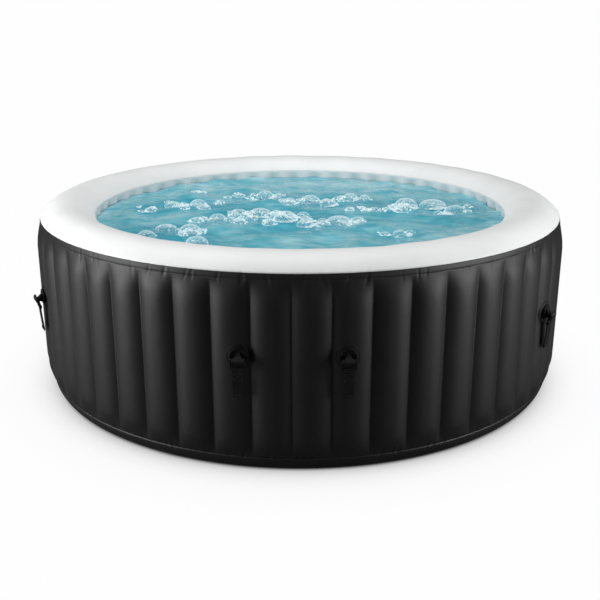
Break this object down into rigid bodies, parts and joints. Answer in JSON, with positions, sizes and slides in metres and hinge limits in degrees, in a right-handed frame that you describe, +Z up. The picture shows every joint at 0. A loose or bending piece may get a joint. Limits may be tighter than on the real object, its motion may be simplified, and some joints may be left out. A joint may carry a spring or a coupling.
{
  "type": "inflatable hot tub",
  "caption": "Round inflatable hot tub with a channelled black outer wall, white rounded rim, strap anchors, and capped water, air and drain fittings.",
  "frame": {"origin": "middle of the base sheet, on its underside, which rests on the ground", "axes": "+Z up; -Y is the front, with the pair of strap anchors; +Y is the back, with the water and air ports; +X is to the right seen from the front"},
  "size_m": [2.0334, 2.0976, 0.7005],
  "materials": {
    "black_pvc": "embossed laminated PVC, satin",
    "white_pvc": "smooth laminated PVC, satin",
    "liner_pvc": "smooth pale blue-white liner PVC, satin",
    "web_pvc": "unseen reinforcing strip",
    "black_plastic": "moulded, satin",
    "white_plastic": "moulded, satin",
    "black_webbing": "woven webbing"
  },
  "bodies": {
    "tub": {"air_feed_tube": "white_pvc", "air_port_fitting": "white_plastic", "air_valve_body": "black_plastic", "anchor_patch_front_left": "black_pvc", "anchor_patch_front_right": "black_pvc", "anchor_patch_rear_left": "black_pvc", "anchor_patch_rear_right": "black_pvc", "anchor_patch_side_left": "black_pvc", "anchor_patch_side_right": "black_pvc", "anchor_plate_front_left": "black_plastic", "anchor_plate_front_right": "black_plastic", "anchor_plate_rear_left": "black_plastic", "anchor_plate_rear_right": "black_plastic", "anchor_plate_side_left": "black_plastic", "anchor_plate_side_right": "black_plastic", "base_sheet": "black_pvc", "base_skirt": "black_pvc", "bubble_channel": "white_pvc", "drain_fitting": "white_plastic", "floor_liner": "liner_pvc", "inner_wall": "liner_pvc", "outer_wall": "black_pvc", "rim_ring": "white_pvc", "tension_web": "web_pvc", "water_inlet_fitting": "white_plastic", "water_inlet_nut": "black_plastic", "water_inlet_strainer": "white_plastic", "water_outlet_fitting": "white_plastic", "water_outlet_nut": "black_plastic", "water_outlet_strainer": "white_plastic"},
    "air_port_cap": {"air_port_cap": "black_plastic"},
    "air_valve_cap": {"air_valve_cap": "black_plastic"},
    "air_valve_stem": {"air_valve_stem": "white_plastic"},
    "drain_cap": {"drain_cap": "black_plastic"},
    "drain_plug": {"drain_plug": "black_plastic"},
    "buckle_front_left": {"strap_buckle_front_left": "black_plastic"},
    "buckle_front_right": {"strap_buckle_front_right": "black_plastic"},
    "buckle_rear_left": {"strap_buckle_rear_left": "black_plastic"},
    "buckle_rear_right": {"strap_buckle_rear_right": "black_plastic"},
    "buckle_side_left": {"strap_buckle_side_left": "black_plastic"},
    "buckle_side_right": {"strap_buckle_side_right": "black_plastic"},
    "tail_front_left": {"strap_front_left": "black_webbing"},
    "tail_front_right": {"strap_front_right": "black_webbing"},
    "tail_rear_left": {"strap_rear_left": "black_webbing"},
    "tail_rear_right": {"strap_rear_right": "black_webbing"},
    "tail_side_left": {"strap_side_left": "black_webbing"},
    "tail_side_right": {"strap_side_right": "black_webbing"},
    "water_inlet_cap": {"water_inlet_cap": "black_plastic"},
    "water_outlet_cap": {"water_outlet_cap": "black_plastic"}
  },
  "joints": [
    {"name": "water_outlet_cap_turn", "type": "hinge", "parent": "tub", "child": "water_outlet_cap", "pos_m": [0.152, 1.0076, 0.2], "axis": [0.1492, 0.9888, 0], "range_deg": [0, 540]},
    {"name": "water_inlet_cap_turn", "type": "hinge", "parent": "tub", "child": "water_inlet_cap", "pos_m": [-0.09835, 1.01424, 0.2], "axis": [-0.0965, 0.9953, 0], "range_deg": [0, 540]},
    {"name": "air_port_cap_turn", "type": "hinge", "parent": "tub", "child": "air_port_cap", "pos_m": [0.02703, 1.01864, 0.33], "axis": [0.0265, 0.9996, 0], "range_deg": [0, 540]},
    {"name": "drain_cap_turn", "type": "hinge", "parent": "tub", "child": "drain_cap", "pos_m": [-0.34277, 0.95962, 0.075], "axis": [-0.3364, 0.9417, 0], "range_deg": [0, 540]},
    {"name": "air_valve_stem_press", "type": "slide", "parent": "tub", "child": "air_valve_stem", "axis": [-0.2696, -0.963, 0], "range_m": [0, 0.006], "stiffness_N_per_m": 400, "springref_m": -0.003},
    {"name": "air_valve_cap_flip", "type": "hinge", "parent": "tub", "child": "air_valve_cap", "pos_m": [0.27697, 0.98947, 0.4225], "axis": [-0.963, 0.2696, 0], "range_deg": [0, 150]},
    {"name": "drain_plug_pull", "type": "slide", "parent": "tub", "child": "drain_plug", "axis": [0.3364, -0.9417, 0], "range_m": [0, 0.03]},
    {"name": "buckle_hinge_front_left", "type": "hinge", "parent": "tub", "child": "buckle_front_left", "pos_m": [-0.18796, -1.02328, 0.387], "axis": [-0.9978, 0.0667, 0], "range_deg": [0, 30]},
    {"name": "buckle_hinge_front_right", "type": "hinge", "parent": "tub", "child": "buckle_front_right", "pos_m": [0.14721, -1.0318, 0.387], "axis": [-0.997, -0.0768, 0], "range_deg": [0, 30]},
    {"name": "buckle_hinge_side_left", "type": "hinge", "parent": "tub", "child": "buckle_side_left", "pos_m": [-0.96181, -0.40034, 0.382], "axis": [-0.4571, 0.8894, 0], "range_deg": [0, 30]},
    {"name": "buckle_hinge_side_right", "type": "hinge", "parent": "tub", "child": "buckle_side_right", "pos_m": [0.87919, -0.5597, 0.374], "axis": [-0.5912, -0.8065, 0], "range_deg": [0, 30]},
    {"name": "buckle_hinge_rear_left", "type": "hinge", "parent": "tub", "child": "buckle_rear_left", "pos_m": [-0.85394, 0.59903, 0.382], "axis": [0.5743, 0.8187, 0], "range_deg": [0, 30]},
    {"name": "buckle_hinge_rear_right", "type": "hinge", "parent": "tub", "child": "buckle_rear_right", "pos_m": [0.94575, 0.44002, 0.382], "axis": [0.4218, -0.9067, 0], "range_deg": [0, 30]},
    {"name": "strap_hinge_front_left", "type": "hinge", "parent": "buckle_front_left", "child": "tail_front_left", "pos_m": [-0.18755, -1.01713, 0.36226], "axis": [-0.9978, 0.0667, 0], "range_deg": [0, 110]},
    {"name": "strap_hinge_front_right", "type": "hinge", "parent": "buckle_front_right", "child": "tail_front_right", "pos_m": [0.14674, -1.02565, 0.36226], "axis": [-0.997, -0.0768, 0], "range_deg": [0, 110]},
    {"name": "strap_hinge_side_left", "type": "hinge", "parent": "buckle_side_left", "child": "tail_side_left", "pos_m": [-0.95632, -0.39752, 0.35726], "axis": [-0.4571, 0.8894, 0], "range_deg": [0, 110]},
    {"name": "strap_hinge_side_right", "type": "hinge", "parent": "buckle_side_right", "child": "tail_side_right", "pos_m": [0.87421, -0.55605, 0.34926], "axis": [-0.5912, -0.8065, 0], "range_deg": [0, 110]},
    {"name": "strap_hinge_rear_left", "type": "hinge", "parent": "buckle_rear_left", "child": "tail_rear_left", "pos_m": [-0.84889, 0.59549, 0.35726], "axis": [0.5743, 0.8187, 0], "range_deg": [0, 110]},
    {"name": "strap_hinge_rear_right", "type": "hinge", "parent": "buckle_rear_right", "child": "tail_rear_right", "pos_m": [0.94016, 0.43741, 0.35726], "axis": [0.4218, -0.9067, 0], "range_deg": [0, 110]}
  ]
}
